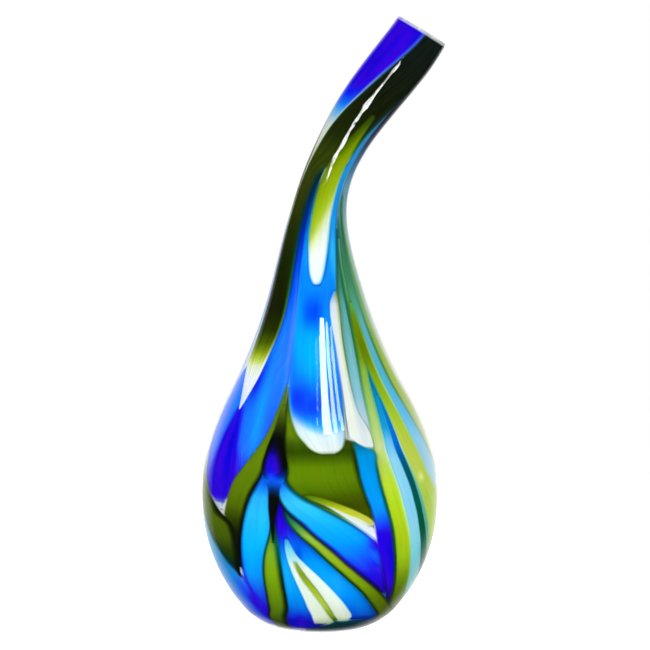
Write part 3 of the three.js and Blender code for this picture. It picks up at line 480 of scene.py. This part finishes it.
lay("back_cobalt_leaf", "cobalt_glass", 1,
    edges="150 124 132, 130 126 146, 110 132 158, 90 140 168, 72 150 176, 58 160 178, 48 168 178",
    body="150 blue, 120 cobalt, 70 cobalt, 48 navy",
    left=("sky", 1.6),
    right=("navy", 1.2))

# Trails at the side that end in a round tip, like those at the back.
ROUND_TIPS = ("pale_side_ribbon", "side_olive_ribbon", "side_aqua_ribbon",
              "forked_lime_ribbon", "low_aqua_ribbon", "left_olive_leaf")

# ---- the form ----


def smooth(rows, column, along):
    """One column of a table on a smooth curve through its rows."""
    points = np.array(sorted(row[:1] + (row[column],) for row in rows), float)
    x, y = points[:, 0], points[:, 1]
    span = np.diff(x)
    slope = np.diff(y) / span
    tangent = np.concatenate([slope[:1], slope])
    weight = span[:-1] + span[1:]
    tangent[1:-1] = (slope[:-1] * span[1:] + slope[1:] * span[:-1]) / weight
    i = np.clip(np.searchsorted(x, along, side="right") - 1, 0, len(span) - 1)
    t = np.clip((along - x[i]) / span[i], 0, 1)
    return (
        (2 * t**3 - 3 * t**2 + 1) * y[i]
        + (t**3 - 2 * t**2 + t) * span[i] * tangent[i]
        + (3 * t**2 - 2 * t**3) * y[i + 1]
        + (t**3 - t**2) * span[i] * tangent[i + 1]
    )


def fade(low, high, value):
    """0 below low, 1 above high, and smooth between them."""
    t = np.clip((value - low) / (high - low), 0, 1)
    return t * t * (3 - 2 * t)


def radius_at(along):
    return smooth(SECTIONS, 1, along)


def lean_at(along):
    return np.radians(smooth(SECTIONS, 2, along))


def mm_per_degree(along):
    return radius_at(along) * math.pi / 180


def flare_at(along):
    """How much the radius grows for each mm along."""
    return radius_at(along + 0.5) - radius_at(along - 0.5)


LINE_ALONG = np.arange(0, LIP + 0.5, 1.0)
STEP_LEAN = lean_at(LINE_ALONG[:-1] + 0.5)
LINE_X = np.concatenate([[0], np.cumsum(np.sin(STEP_LEAN))])
LINE_Z = np.concatenate([[0], np.cumsum(np.cos(STEP_LEAN))])


def wall_points(along, degrees, depth):
    """Points on the wall in mm, at a depth measured straight in from the outside."""
    along, degrees, depth = np.broadcast_arrays(
        np.asarray(along, float), np.asarray(degrees, float), np.asarray(depth, float)
    )
    lean = lean_at(along)
    turn = np.radians(degrees)
    flare = np.arctan(flare_at(along))
    reach = radius_at(along) - depth * np.cos(flare)
    lift = depth * np.sin(flare)
    x = np.interp(along, LINE_ALONG, LINE_X)
    z = np.interp(along, LINE_ALONG, LINE_Z)
    return np.stack(
        [
            x + reach * np.sin(turn) * np.cos(lean) + lift * np.sin(lean),
            -reach * np.cos(turn),
            z - reach * np.sin(turn) * np.sin(lean) + lift * np.cos(lean),
        ],
        -1,
    )


# ---- outlines and colour of the trails ----

# A round tip reaches out by a share of the trail's width, up to a limit. Narrow trails and
# those near the foot or the lip have none.
TIP_SHARE, TIP_REACH = 0.45, 9
TIP_WIDTH, TIP_MARGIN = 3, 14


def round_end(rows, direction):
    """These rows, followed by rows that close the trail in a round tip."""
    place, start, stop = rows[-1]
    half, centre = (stop - start) / 2, (stop + start) / 2
    width = 2 * half * float(mm_per_degree(place))
    if width < TIP_WIDTH or place < TIP_MARGIN or place > LIP - TIP_MARGIN:
        return rows
    reach = min(TIP_SHARE * width, TIP_REACH)
    tip = [(t, half * math.sqrt(1 - t * t)) for t in (0.3, 0.55, 0.75, 0.9, 0.98)]
    return rows + [(place + direction * reach * t, centre - w, centre + w) for t, w in tip]


def spread_edges(trail):
    """A trail's edges as they lie once it has flowed out against its neighbours."""
    left, right, top, bottom = trail.flow
    places = [row[0] for row in trail.edges]
    places[0] += top
    places[-1] -= bottom
    rows = [
        (place, start - left / mm_per_degree(row), stop + right / mm_per_degree(row))
        for place, (row, start, stop) in zip(places, trail.edges)
    ]
    if trail.name in ROUND_TIPS or trail.name.startswith("back_"):
        rows = round_end(rows[::-1], 1)[::-1]
        rows = round_end(rows, -1)
    return rows


def edge_distances(edges, along, degrees):
    """Distances in mm along the wall to a trail's two edges and to its two ends."""
    per_degree = mm_per_degree(along)
    stretch = np.sqrt(1 + flare_at(along) ** 2)
    sides = []
    for column, sign in ((1, 1), (2, -1)):
        edge = smooth(edges, column, along)
        tilt = (smooth(edges, column, along + 0.5) - edge) * 2 * per_degree / stretch
        sides.append(sign * (degrees - edge) * per_degree / np.sqrt(1 + tilt**2))
    top = (edges[0][0] - along) * stretch
    bottom = (along - edges[-1][0]) * stretch
    return *sides, top, bottom


def run_colour(rows, along):
    """The colour that rows of along, red, green, blue give, or the one colour they hold."""
    if len(rows[0]) == 3:
        return np.broadcast_to(np.array(rows[0]), along.shape + (3,))
    places, *channels = zip(*sorted(rows))
    return np.stack([np.interp(along, places, channel) for channel in channels], -1)


def lay_trail(under, trail, along, degrees):
    """The colour with one trail laid over what is under it."""
    edges = spread_edges(trail)
    middle = (min(row[1] for row in edges) + max(row[2] for row in edges)) / 2
    degrees = (degrees - middle + 180) % 360 - 180 + middle
    left, right, top, bottom = edge_distances(edges, along, degrees)
    cover = fade(0, trail.soft, np.minimum(left, right))
    cover = cover * fade(0, trail.soft, np.minimum(top, bottom))
    bow, low_point = trail.bow
    place = along + trail.slant * degrees - bow * (degrees - low_point) ** 2
    colour = run_colour(trail.body, place)
    for place, turn, long, wide, *tint in trail.spots:
        across = (degrees - turn) * mm_per_degree(along)
        near = np.exp(-(((along - place) / long) ** 2) - (across / wide) ** 2)
        colour = colour + (np.array(tint) - colour) * near[..., None]
    for side, distance in zip(trail.sides, (left, right)):
        if side:
            rows, width = side
            near = 1 - fade(0.4 * width, 1.6 * width, distance)
            colour = colour + (run_colour(rows, along) - colour) * near[..., None]
    return under + (colour - under) * cover[..., None]


def wall_colour(along, degrees, top_layer):
    """What the wall looks like at a place, from the core out to one layer."""
    colour = np.broadcast_to(np.array(COLOURS["opal"], float), along.shape + (3,))
    for layer in range(LAYERS, top_layer - 1, -1):
        for trail in TRAILS:
            if trail.layer == layer:
                colour = lay_trail(colour, trail, along, degrees)
    return colour


def to_linear(colour):
    c = np.clip(colour / 255, 0, 1)
    return np.where(c <= 0.04045, c / 12.92, ((c + 0.055) / 1.055) ** 2.4)


# ---- meshes ----

UV_MM = 100
# how far in from its rim a trail reaches its full thickness, and its points' spacing
RIM = 0.9
ROW_STEP, COLUMN_STEP = 1.5, 1.15
VESSEL_TURNS = 160


def make_mesh(name, points, faces, uv=None, tint=None):
    """A smooth object from points in mm, with an optional map and colour per point."""
    mesh = bpy.data.meshes.new(name)
    mesh.from_pydata((points * MM).tolist(), [], [tuple(map(int, f)) for f in faces])
    if uv is not None:
        corner = np.empty(len(mesh.loops), np.int32)
        mesh.loops.foreach_get("vertex_index", corner)
        layer = mesh.uv_layers.new(name="flow")
        layer.data.foreach_set("uv", uv[corner].astype(np.float32).ravel())
    if tint is not None:
        layer = mesh.color_attributes.new(name="tint", type="FLOAT_COLOR", domain="POINT")
        rgba = np.concatenate([to_linear(tint), np.ones((len(tint), 1))], 1)
        layer.data.foreach_set("color", rgba.astype(np.float32).ravel())
    mesh.polygons.foreach_set("use_smooth", [True] * len(mesh.polygons))
    mesh.update()
    piece = bpy.data.objects.new(name, mesh)
    bpy.context.scene.collection.objects.link(piece)
    return piece


def grid_faces(index, flip=False):
    a, b, c, d = index[:-1, :-1], index[:-1, 1:], index[1:, 1:], index[1:, :-1]
    order = (a, d, c, b) if flip else (a, b, c, d)
    return np.stack(order, -1).reshape(-1, 4)


def make_vessel(name, profile):
    """A round vessel; its profile of (along, depth) runs up the outside and down inside."""
    along, depth = np.array(profile, float).T[:, :, None]
    degrees = np.arange(VESSEL_TURNS)[None, :] * 360 / VESSEL_TURNS
    along, degrees, depth = np.broadcast_arrays(along, degrees, depth)
    rings = wall_points(along, degrees, depth)
    points = rings.reshape(-1, 3)
    index = np.arange(len(points)).reshape(along.shape)
    index = np.concatenate([index, index[:, :1]], 1)
    faces = [tuple(f) for f in grid_faces(index)]
    ends = [rings[0].mean(0), rings[-1].mean(0)]
    for end, ring in enumerate((index[0], index[-1])):
        middle = len(points) + end
        for a, b in zip(ring[:-1], ring[1:]):
            faces.append((middle, b, a) if end == 0 else (middle, a, b))
    flow = np.stack([degrees * mm_per_degree(along), along], -1).reshape(-1, 2)
    flow = np.concatenate([flow, flow[:1], flow[-1:]]) / UV_MM
    return make_mesh(name, np.concatenate([points, ends]), faces, uv=flow)


def make_trail(trail):
    """A thin lens of glass that follows a trail's edges, closed all round."""
    edges = spread_edges(trail)
    length = edges[0][0] - edges[-1][0]
    rows = max(12, int(length / ROW_STEP))
    along = np.linspace(edges[0][0], edges[-1][0], rows)[:, None]
    start = smooth(edges, 1, along)
    stop = smooth(edges, 2, along)
    width = ((stop - start) * mm_per_degree(along)).max()
    columns = max(8, int(width / COLUMN_STEP) + 4)
    t = np.linspace(0, 1, columns)[None, :]
    t = 0.6 * t + 0.4 * (0.5 - 0.5 * np.cos(math.pi * t))
    degrees = start + (stop - start) * t
    along = along + 0 * t
    rim = np.minimum.reduce(edge_distances(edges, along, degrees))
    full = np.sqrt(np.clip(rim / RIM, 0, 1))
    full[[0, -1], :] = 0
    full[:, [0, -1]] = 0
    middle = CASING + GAP + (trail.layer - 1) * (TRAIL + GAP) + TRAIL / 2
    front = wall_points(along, degrees, middle - full * TRAIL / 2)
    back = wall_points(along, degrees, middle + full * TRAIL / 2)
    front_index = np.arange(rows * columns).reshape(rows, columns)
    back_index = front_index.copy()
    inner = (rows - 2) * (columns - 2)
    back_index[1:-1, 1:-1] = rows * columns + np.arange(inner).reshape(rows - 2, -1)

    def both(front, back):
        """Values at the front's points, then at the back's, which shares the front's rim."""
        size = front.shape[-1]
        return np.concatenate([front.reshape(-1, size), back[1:-1, 1:-1].reshape(-1, size)])

    tint = wall_colour(along, degrees, trail.layer)
    flow = np.stack([t * width + 0 * along, along], -1) / UV_MM
    faces = np.concatenate([grid_faces(front_index, True), grid_faces(back_index)])
    return make_mesh(
        trail.name + "_glass", both(front, back), faces, both(flow, flow), both(tint, tint)
    )


# ---- materials ----


def new_material(name):
    material = bpy.data.materials.new(name)
    material.use_nodes = True
    nodes = material.node_tree.nodes
    links = material.node_tree.links
    return material, nodes, links, nodes["Principled BSDF"]


def set_inputs(node, **values):
    """Sets inputs by name, with an underscore for each space."""
    for name, value in values.items():
        node.inputs[name.replace("_", " ")].default_value = value


def flow_noise(nodes, links, across, along, detail=3.0):
    """Noise drawn out along the flow of the glass; sizes are in features per 100 mm."""
    flow = nodes.new("ShaderNodeUVMap")
    flow.uv_map = "flow"
    scale = nodes.new("ShaderNodeMapping")
    set_inputs(scale, Scale=(across, along, 1))
    noise = nodes.new("ShaderNodeTexNoise")
    set_inputs(noise, Scale=1.0, Detail=detail)
    links.new(flow.outputs["UV"], scale.inputs["Vector"])
    links.new(scale.outputs["Vector"], noise.inputs["Vector"])
    return noise.outputs["Fac"]


def map_range(nodes, links, value, low, high, to_low, to_high):
    node = nodes.new("ShaderNodeMapRange")
    set_inputs(node, From_Min=low, From_Max=high, To_Min=to_low, To_Max=to_high)
    links.new(value, node.inputs["Value"])
    return node.outputs["Result"]


def trail_material(slot, strength):
    """Solid coloured glass: drawn streaks and soft clouds over the colour of its points."""
    material, nodes, links, shader = new_material(slot)
    tint = nodes.new("ShaderNodeVertexColor")
    tint.layer_name = "tint"
    streaks = flow_noise(nodes, links, 46, 1.6)
    clouds = flow_noise(nodes, links, 9, 2.5)
    value = map_range(nodes, links, streaks, 0.3, 0.7, 1 - strength, 1 + strength)
    hue = map_range(nodes, links, clouds, 0.3, 0.7, 0.494, 0.506)
    vary = nodes.new("ShaderNodeHueSaturation")
    links.new(tint.outputs["Color"], vary.inputs["Color"])
    links.new(value, vary.inputs["Value"])
    links.new(hue, vary.inputs["Hue"])
    links.new(vary.outputs["Color"], shader.inputs["Base Color"])
    set_inputs(shader, Roughness=0.5, Specular_IOR_Level=0.0)
    return material


def opal_material():
    material, nodes, links, shader = new_material("opal_bubble")
    clouds = flow_noise(nodes, links, 3, 1)
    mix = nodes.new("ShaderNodeMix")
    mix.data_type = "RGBA"
    factor, first, second = mix.inputs[0], mix.inputs[6], mix.inputs[7]
    first.default_value = (0.80, 0.84, 0.83, 1)
    second.default_value = (0.90, 0.91, 0.90, 1)
    links.new(clouds, factor)
    links.new(mix.outputs[2], shader.inputs["Base Color"])
    set_inputs(shader, Roughness=0.18)
    return material


def clear_material():
    """Clear glass. It lets light through to the trails instead of shading them."""
    material, nodes, links, shader = new_material("clear_gather")
    set_inputs(shader, Base_Color=(0.97, 0.99, 1.0, 1), Roughness=0.0, IOR=1.5)
    set_inputs(shader, Transmission_Weight=1.0)
    bump = nodes.new("ShaderNodeBump")
    set_inputs(bump, Strength=0.05, Distance=0.002)
    links.new(flow_noise(nodes, links, 3.0, 1.2, 1.0), bump.inputs["Height"])
    links.new(bump.outputs["Normal"], shader.inputs["Normal"])
    through = nodes.new("ShaderNodeBsdfTransparent")
    rays = nodes.new("ShaderNodeLightPath")
    mix = nodes.new("ShaderNodeMixShader")
    links.new(rays.outputs["Is Shadow Ray"], mix.inputs["Fac"])
    links.new(shader.outputs["BSDF"], mix.inputs[1])
    links.new(through.outputs["BSDF"], mix.inputs[2])
    links.new(mix.outputs["Shader"], nodes["Material Output"].inputs["Surface"])
    return material


def matte_material(name, grey, roughness):
    material, _, _, shader = new_material(name)
    set_inputs(shader, Base_Color=(grey, grey, grey, 1), Roughness=roughness)
    set_inputs(shader, Specular_IOR_Level=0.0)
    return material, shader


# ---- the vase ----

# places up the wall where the vessels have a ring of points
SIDE = [*np.arange(FLOOR, 40, 1.5), *np.arange(40, LIP - 4, 3.0)]

# The casing's inner side lies inside the core, so no air is left between the layers.
CASING_INSIDE = CORE_DEPTH + CORE / 2
# how far up the core's closed bottom is
BASE = 3.2

casing_profile = (
    [(0.0, 0.6), (0.4, 0.2), (1.2, 0.0), (3.0, 0.0), (5.0, 0.0)]
    + [(a, 0.0) for a in SIDE]
    + [(LIP - 3, 0.0), (LIP - 1.6, 0.0), (LIP - 0.8, 0.12), (LIP - 0.3, 0.4), (LIP, 1.0)]
    + [(LIP, 2.2), (LIP - 0.1, CORE_DEPTH - 0.4), (LIP - 0.5, CORE_DEPTH + 0.35)]
    + [(LIP - LIP_FOLD, CASING_INSIDE)]
    + [(a, CASING_INSIDE) for a in reversed(SIDE)]
    + [(FLOOR - 1.5, CASING_INSIDE + 0.3), (FLOOR - 2.3, CASING_INSIDE + 1.5)]
)
core_profile = (
    [(BASE, CORE_DEPTH + 4), (BASE, CORE_DEPTH + 1), (BASE + 0.4, CORE_DEPTH + 0.3)]
    + [(BASE + 1.4, CORE_DEPTH)]
    + [(a, CORE_DEPTH) for a in SIDE]
    + [(LIP - 1, CORE_DEPTH), (LIP - 0.2, CORE_DEPTH + 0.1), (LIP, CORE_DEPTH + 0.5)]
    + [(LIP - 0.2, CORE_DEPTH + CORE - 0.3), (LIP - 0.9, CORE_DEPTH + CORE)]
    + [(a, CORE_DEPTH + CORE) for a in reversed(SIDE)]
    + [(FLOOR - 0.6, CORE_DEPTH + CORE + 1), (FLOOR - 1, CORE_DEPTH + CORE + 4)]
)

casing = make_vessel("clear_casing_glass", casing_profile)
casing.data.materials.append(clear_material())
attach(casing, "root")
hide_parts("clear_casing_foot", "clear_casing_belly", "clear_casing_shoulder",
            "clear_casing_neck", "clear_casing_lip")

core = make_vessel("opal_core_glass", core_profile)
core.data.materials.append(opal_material())
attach(core, "root")
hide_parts("opal_core")

STREAK_STRENGTH = {"opal_glass": 0.03, "dark_green_glass": 0.25, "olive_glass": 0.09}
slots = sorted({trail.slot for trail in TRAILS})
materials = {slot: trail_material(slot, STREAK_STRENGTH.get(slot, 0.07)) for slot in slots}
for laid in TRAILS:
    piece = make_trail(laid)
    piece.data.materials.append(materials[laid.slot])
    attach(piece, "root")
    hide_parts(laid.name)

# ---- camera and lights, in metres ----

middle = (frame_low + frame_high) / 2
TARGET = Vector((middle.x + 0.0015, 0, middle.z - 0.001))
CAMERA_DISTANCE = 2.4
CAMERA_RISE = math.radians(4.5)
VIEW_HEIGHT = 0.4823
SENSOR = 36

camera_data = bpy.data.cameras.new("camera")
camera = bpy.data.objects.new("camera", camera_data)
bpy.context.scene.collection.objects.link(camera)
back = Vector((0, -math.cos(CAMERA_RISE), math.sin(CAMERA_RISE)))
camera.location = TARGET + back * CAMERA_DISTANCE
camera.rotation_euler = (-back).to_track_quat("-Z", "Y").to_euler()
camera_data.sensor_width = SENSOR
camera_data.lens = SENSOR * CAMERA_DISTANCE / VIEW_HEIGHT
bpy.context.scene.camera = camera


def area_light(name, place, size, power):
    """A soft square light, aimed at the vase and hidden from reflections."""
    data = bpy.data.lights.new(name, "AREA")
    data.shape = "SQUARE"
    data.size = size
    data.energy = power
    light = bpy.data.objects.new(name, data)
    bpy.context.scene.collection.objects.link(light)
    light.location = place
    aim = TARGET - Vector(place)
    light.rotation_euler = aim.to_track_quat("-Z", "Y").to_euler()
    light.visible_glossy = False
    light.visible_transmission = False


area_light("front_left", (-1.3, -2.0, 1.1), 1.6, 42)
area_light("front_right", (1.3, -2.0, 1.1), 1.6, 42)
area_light("overhead", (0, 0.2, 2.4), 1.8, 26)
area_light("back_left", (-1.5, 1.9, 1.2), 1.6, 30)
area_light("back_right", (1.5, 1.9, 1.2), 1.6, 30)

# ---- floor, panels and card, in millimetres ----


def stage_sheet(name, points, columns, material):
    """A sheet through rows of points, which is part of the stage and not of the vase."""
    index = np.arange(len(points)).reshape(-1, columns)
    sheet = make_mesh(name, np.array(points, float), grid_faces(index))
    sheet.data.materials.append(material)
    return sheet


def show_in_reflections_only(sheet):
    sheet.visible_camera = False
    sheet.visible_diffuse = False
    sheet.visible_transmission = False
    sheet.visible_shadow = False


SPREAD = 900
floor_material, floor_shader = matte_material("floor", 0.93, 0.9)
set_inputs(floor_shader, Emission_Color=(1, 1, 1, 1), Emission_Strength=0.62)
floor_corners = [(x, y, 0) for y in (-SPREAD, SPREAD) for x in (-SPREAD, SPREAD)]
floor = stage_sheet("floor", floor_corners, 2, floor_material)
floor.visible_glossy = False

PANEL_DISTANCE = 1500
PANEL_ROWS = 24


def reflected(along, degrees):
    """Where a light has to be for its reflection to lie at a place on the clear glass."""
    point = wall_points(along, degrees, 0)
    up = wall_points(along + 0.5, degrees, 0) - point
    side = wall_points(along, degrees + 0.5, 0) - point
    normal = np.cross(side, up)
    normal /= np.linalg.norm(normal)
    eye = np.array(camera.location) / MM - point
    eye /= np.linalg.norm(eye)
    return point + (2 * normal.dot(eye) * normal - eye) * PANEL_DISTANCE


def glint(name, strength, text):
    """A bright panel whose reflection on the glass fills rows of along, from, to."""
    material, nodes, links, shader = new_material(name)
    nodes.remove(shader)
    glow = nodes.new("ShaderNodeEmission")
    set_inputs(glow, Strength=strength)
    links.new(glow.outputs["Emission"], nodes["Material Output"].inputs["Surface"])
    rows = table(text)
    along = np.linspace(rows[-1][0], rows[0][0], PANEL_ROWS)
    start, stop = smooth(rows, 1, along), smooth(rows, 2, along)
    points = [
        reflected(place, low + (high - low) * t)
        for place, low, high in zip(along, start, stop)
        for t in (0, 0.5, 1)
    ]
    show_in_reflections_only(stage_sheet(name, points, 3, material))


glint("window_pane", 21, "234 3.0 7.4, 200 2.2 6.8, 158 2.0 6.2")
glint("window_bar", 13, "231 8.6 10.8, 200 8.2 10.4, 160 7.6 9.8")
glint("window_edge", 10, "228 12.8 14.6, 200 12.2 13.8, 162 11.4 13.0")
glint("neck_line", 24, """437 -0.8 0.6, 432 -4.0 3.2, 426 -1.0 0.8, 418 -1.6 1.2, 410 -3.0 2.6,
    404 -2.6 2.2, 397 -7.0 5.8, 391 -2.0 1.6, 384 -3.8 3.2, 376 -1.0 0.8, 367 -4.4 3.6,
    360 -1.6 1.2, 352 -0.4 0.3""")

# A dark card in front of the belly keeps a bright spot off it.
card_material, _ = matte_material("card", 0.01, 1.0)
card_corners = [(x, -300, z) for z in (60, 290) for x in (-300, 300)]
show_in_reflections_only(stage_sheet("card", card_corners, 2, card_material))

# ---- world ----

# The room is dark in front of the vase and white behind it, by direction, for light and
# reflections. The camera sees a white backdrop from every side.
world = bpy.data.worlds.new("studio")
bpy.context.scene.world = world
world.use_nodes = True
world_nodes, world_links = world.node_tree.nodes, world.node_tree.links
direction = world_nodes.new("ShaderNodeTexCoord")
axes = world_nodes.new("ShaderNodeSeparateXYZ")
world_links.new(direction.outputs["Generated"], axes.inputs["Vector"])
bright = map_range(world_nodes, world_links, axes.outputs["Y"], 0.62, 0.97, 0.02, 1.0)
seen = world_nodes.new("ShaderNodeLightPath")
backdrop = world_nodes.new("ShaderNodeMath")
backdrop.operation = "MAXIMUM"
world_links.new(bright, backdrop.inputs[0])
world_links.new(seen.outputs["Is Camera Ray"], backdrop.inputs[1])
world_links.new(backdrop.outputs["Value"], world_nodes["Background"].inputs["Color"])
set_inputs(world_nodes["Background"], Strength=1.0)

bpy.context.scene.view_settings.view_transform = "Standard"
